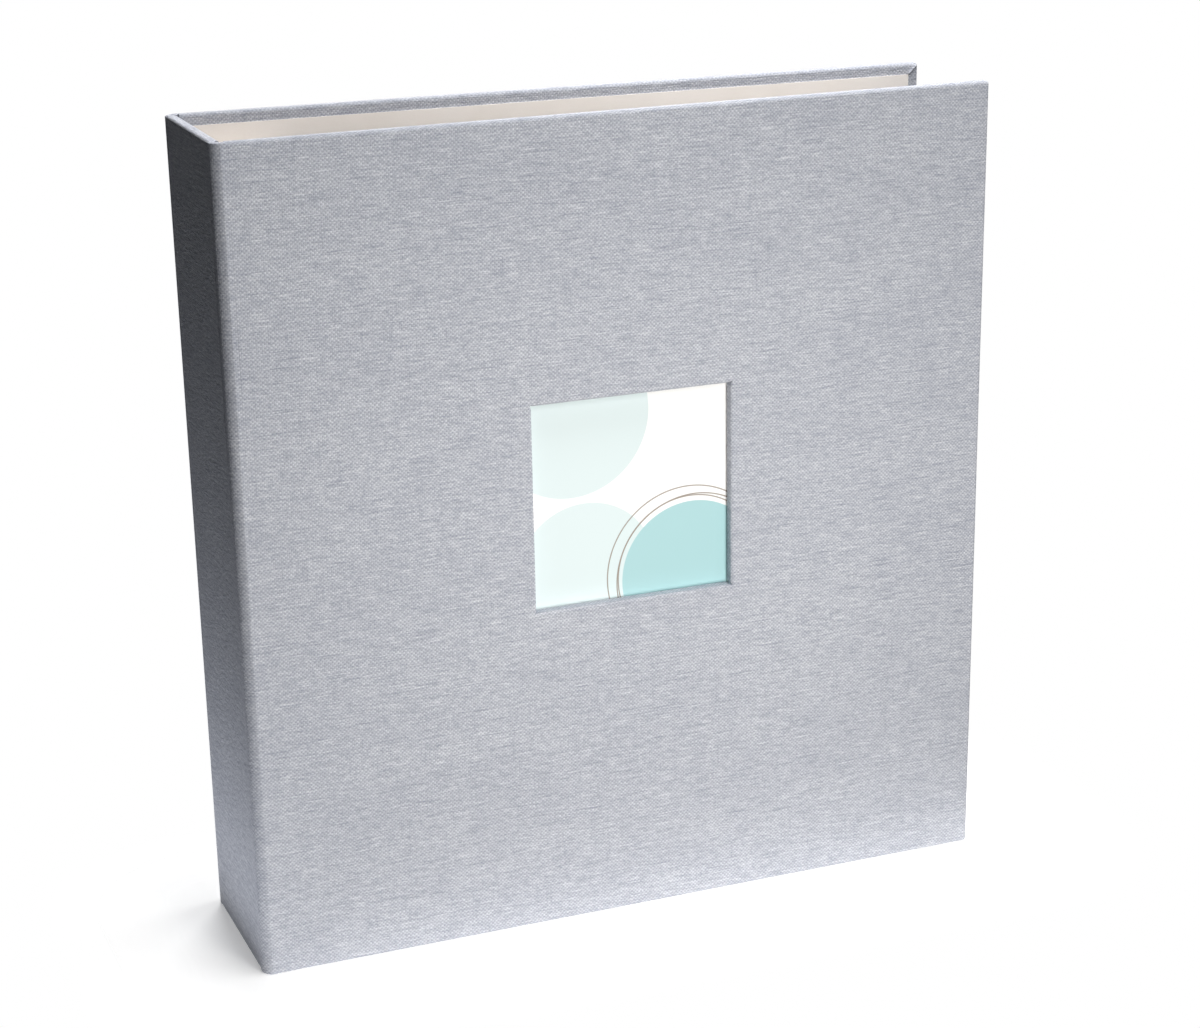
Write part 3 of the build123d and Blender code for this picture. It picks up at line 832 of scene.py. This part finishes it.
def sleeve_cuts(start, stop):
    """Stretches of planes from one welded edge to the other: close at the welds, wide between."""
    return [(start, start + WELD, 0.75 * MM), (start + WELD, stop - WELD, 6 * MM),
            (stop - WELD, stop, 0.75 * MM)]


def film_sleeve(name, number, material):
    """A sleeve of two films, welded along three sides and open at the top, round its page.

    The skin of a slab of cells with the cells of the pocket taken out. The slab is pressed to a
    third of its thickness at the welds, by a smooth step of the distance from the edge, and both
    films bow together in slow waves, sines of the place along and up them.
    """
    low, high = extents(f"page_sleeve_{number}", BACK)
    page_low, page_high = extents(f"page_card_{number}", BACK)
    lines = [cuts(*sleeve_cuts(low[0], high[0]), (page_low[0], page_high[0], ENDS)),
             cuts((low[1], page_low[1], 0.2 * MM), (page_low[1], page_high[1], ENDS),
                  (page_high[1], high[1], 0.2 * MM)),
             cuts(*sleeve_cuts(low[2], high[2]), (page_low[2], page_low[2], ENDS))]
    along, depth, level = np.meshgrid(*[middles(row) for row in lines], indexing="ij")
    pocket = ((along > page_low[0]) & (along < page_high[0]) & (depth > page_low[1])
              & (depth < page_high[1]) & (level > page_low[2]))
    points, faces, axes = lattice_skin(lines, ~pocket)
    along, depth, level = points.T
    from_edge = np.minimum(np.minimum(along - low[0], high[0] - along), level - low[2])
    step = np.clip(from_edge / WELD, 0, 1)
    full = step * step * (3 - 2 * step)
    middle = (low[1] + high[1]) / 2
    wave = 0.16 * MM * (np.sin(along / (23 * MM) + number) * np.sin(level / (31 * MM) + 2 * number)
                        + np.sin(along / (67 * MM) + 3 * number + level / (90 * MM)))
    points[:, 1] = middle + (depth - middle) * (0.35 + 0.65 * full) + 0.5 * wave * full
    return make_piece(name, placed(BACK, points), faces, material, flip=left_handed(BACK),
                      sharp=60, attributes={"Weld": 1 - full})


class ALBUM_OT_page_sleeves(bpy.types.Operator):
    """Makes the clear page sleeves, and finishes their strips and the pages in them"""

    bl_idname = "album.page_sleeves"
    bl_label = "Page sleeves"

    def execute(self, context):
        film = shared("sleeve_film_polypropylene", sleeve_film,
                      settings_of(context, "album_paper"))
        page = shared("page_card_uncoated", paper, "#F1EEE8", "#E8E4DC")
        finish_node("page_binding_strips", film)
        for number in (1, 2, 3, 4):
            finish_node(f"page_card_{number}", page)
            sleeve = film_sleeve(f"film_sleeve_{number}", number, film)
            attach(sleeve, f"page_{number}")
            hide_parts(f"page_sleeve_{number}")
        return {"FINISHED"}


# ---- Stage

FLOOR_REACH = 0.7  # half the floor's side
FLOOR_FADE = 0.07  # how far from the album the floor has faded away
FLOOR_GLOW = 0.35  # the floor's own light, of the room's white

# Each lamp's setting, then its name, place, what it is aimed at, its size in metres and its colour.
# The side bounce looks straight up, but for a hair that settles which way its sides lie.
LAMPS = {
    "key_power": ("softbox_above", (0.26, -0.08, 1.15), (0.10, -0.02, 0.28), (0.70, 0.34),
                  (1, 1, 1)),
    "low_power": ("low_front_light", (0.02, -0.40, 0.13), (0.02, 0, 0.13), (0.16, 0.16),
                  (1.0, 0.98, 0.94)),
    "front_power": ("high_front_light", (0.12, -1.3, 0.95), (0.03, 0, 0.20), (0.45, 0.45),
                    (0.97, 0.98, 1.0)),
    "side_power": ("side_bounce", (-0.225, -0.01, 0.002), (-0.225, -0.0101, 0.3), (0.12, 0.20),
                   (0.93, 0.95, 1.0)),
    "gap_power": ("gap_light", (0.10, -0.02, 0.40), (0.10, 0.05, 0.28), (0.26, 0.03),
                  (1, 1, 1)),
    "back_power": ("back_fill", (0.35, 1.2, 0.9), (0, 0, 0.2), (0.8, 0.6), (1, 1, 1)),
}


def softbox(name, place, aim, size, colour, power):
    """A rectangular area light that looks at a point, and isn't seen itself."""
    light = bpy.data.lights.new(name, "AREA")
    light.shape = "RECTANGLE"
    light.size, light.size_y = size
    light.energy = power
    light.color = colour
    lamp = bpy.data.objects.new(name, light)
    back = np.array(place) - np.array(aim)
    back = back / np.linalg.norm(back)
    side = np.cross(UP, back)
    side = side / np.linalg.norm(side)
    turn = Matrix(np.stack([side, np.cross(back, side), back], 1).tolist()).to_4x4()
    lamp.matrix_world = Matrix.Translation(place) @ turn
    lamp.visible_camera = False
    bpy.context.scene.collection.objects.link(lamp)


def white_room(name, ambient):
    """A white room that shows and reflects as white, and lights matt surfaces with a cool glow."""
    world = bpy.data.worlds.new(name)
    world.use_nodes = True
    world.node_tree.nodes.clear()
    output = add_node(world, "ShaderNodeOutputWorld")
    matt = add_node(world, "ShaderNodeLightPath").outputs["Is Diffuse Ray"]
    white = add_node(world, "ShaderNodeBackground", {}, {"Color": (1, 1, 1, 1), "Strength": 1.0})
    glow = add_node(world, "ShaderNodeBackground", {}, {
        "Color": linear("#D9E0F0"), "Strength": ambient})
    mixed = add_node(world, "ShaderNodeMixShader", {}, {
        0: matt, 1: white.outputs[0], 2: glow.outputs[0]})
    world.node_tree.links.new(mixed.outputs[0], output.inputs[0])
    return world


def pale_floor(name):
    """Matt white paper, lit a little from below, that holds the contact shadow.

    It fades into the white room with the distance from the album's box, level and outside it.
    """
    material, output = new_material(name)
    middle = (cad_low + cad_high) / 2
    half = (cad_high - cad_low) / 2
    place = add_node(material, "ShaderNodeTexCoord").outputs["Object"]
    from_middle = add_node(material, "ShaderNodeVectorMath", {"operation": "SUBTRACT"},
                           {0: place, 1: (middle.x, middle.y, 0)}).outputs[0]
    aside = add_node(material, "ShaderNodeVectorMath", {"operation": "ABSOLUTE"},
                     {0: from_middle}).outputs[0]
    beyond = add_node(material, "ShaderNodeVectorMath", {"operation": "SUBTRACT"},
                      {0: aside, 1: (half.x, half.y, 0)}).outputs[0]
    outside = add_node(material, "ShaderNodeVectorMath", {"operation": "MAXIMUM"},
                       {0: beyond, 1: (0, 0, 0)}).outputs[0]
    distance = add_node(material, "ShaderNodeVectorMath", {"operation": "LENGTH"},
                        {0: outside}).outputs[1]
    fade = add_node(material, "ShaderNodeMapRange", {"interpolation_type": "SMOOTHSTEP"},
                    {"Value": distance, "From Min": 0.0, "From Max": FLOOR_FADE}).outputs[0]
    sheet = add_node(material, "ShaderNodeBsdfDiffuse", {}, {
        "Color": linear("#F0F0F0")}).outputs[0]
    glow = add_node(material, "ShaderNodeEmission", {}, {
        "Color": (1, 1, 1, 1), "Strength": FLOOR_GLOW}).outputs[0]
    lit = add_node(material, "ShaderNodeAddShader", {}, {0: sheet, 1: glow}).outputs[0]
    clear = add_node(material, "ShaderNodeBsdfTransparent").outputs[0]
    mix = add_node(material, "ShaderNodeMixShader", {}, {0: fade, 1: lit, 2: clear})
    material.node_tree.links.new(mix.outputs[0], output.inputs[0])
    return material


class ALBUM_OT_stage(bpy.types.Operator):
    """Sets up the floor, the soft lights and the camera"""

    bl_idname = "album.stage"
    bl_label = "Stage"

    def execute(self, context):
        stage = settings_of(context, "album_stage")
        scene = context.scene
        scene.view_settings.view_transform = "Standard"
        scene.world = white_room("white_room", stage.ambient)

        corners = FLOOR_REACH * np.array([(-1, -1, 0), (1, -1, 0), (1, 1, 0), (-1, 1, 0)])
        floor = make_piece("floor", corners, np.array([[0, 1, 2, 3]]),
                           shared("floor_paper_sweep", pale_floor))

        for setting, lamp in LAMPS.items():
            softbox(*lamp, getattr(stage, setting))

        lens = bpy.data.cameras.new("camera")
        lens.lens = stage.lens
        lens.shift_x, lens.shift_y = stage.shift
        camera = bpy.data.objects.new("camera", lens)
        turn, rise, roll = stage.camera_turn, stage.camera_rise, stage.camera_roll
        back = np.array((math.sin(turn) * math.cos(rise), -math.cos(turn) * math.cos(rise),
                         math.sin(rise)))
        side = np.array((math.cos(turn), math.sin(turn), 0))
        top = np.cross(back, side)
        rolled = np.stack([math.cos(roll) * side + math.sin(roll) * top,
                           math.cos(roll) * top - math.sin(roll) * side, back], 1)
        pose = Matrix(rolled.tolist()).to_4x4()
        camera.matrix_world = Matrix.Translation(stage.camera_place) @ pose
        scene.collection.objects.link(camera)
        scene.camera = camera
        return {"FINISHED"}


class ALBUM_PT_pieces(bpy.types.Panel):
    """Lists the album's pieces and stage"""

    bl_idname = "ALBUM_PT_pieces"
    bl_label = "Scrapbook album"
    bl_space_type = "VIEW_3D"
    bl_region_type = "UI"
    bl_category = "Album"

    def draw(self, context):
        for operator in OPERATORS:
            self.layout.operator(operator.bl_idname)
        for key, group in SETTINGS.items():
            box = self.layout.box()
            for name in group.__annotations__:
                box.prop(settings_of(context, key), name)


OPERATORS = (ALBUM_OT_boards_and_papers, ALBUM_OT_front_cover_cloth, ALBUM_OT_back_cover_cloth,
             ALBUM_OT_spine_cloth, ALBUM_OT_title_card, ALBUM_OT_ring_metal,
             ALBUM_OT_page_sleeves, ALBUM_OT_stage)


def register():
    """Registers the settings, the operators and the panel."""
    for group in (*SETTINGS.values(), *OPERATORS, ALBUM_PT_pieces):
        bpy.utils.register_class(group)
    for key, group in SETTINGS.items():
        setattr(bpy.types.Scene, key, bpy.props.PointerProperty(type=group))


def unregister():
    """Takes away what register added."""
    for key in SETTINGS:
        delattr(bpy.types.Scene, key)
    for group in reversed((*SETTINGS.values(), *OPERATORS, ALBUM_PT_pieces)):
        bpy.utils.unregister_class(group)


def main():
    """Makes every piece and the stage."""
    register()
    bpy.ops.album.boards_and_papers()
    bpy.ops.album.front_cover_cloth()
    bpy.ops.album.back_cover_cloth()
    bpy.ops.album.spine_cloth()
    bpy.ops.album.title_card()
    bpy.ops.album.ring_metal()
    bpy.ops.album.page_sleeves()
    bpy.ops.album.stage()


if __name__ == "__main__":
    main()
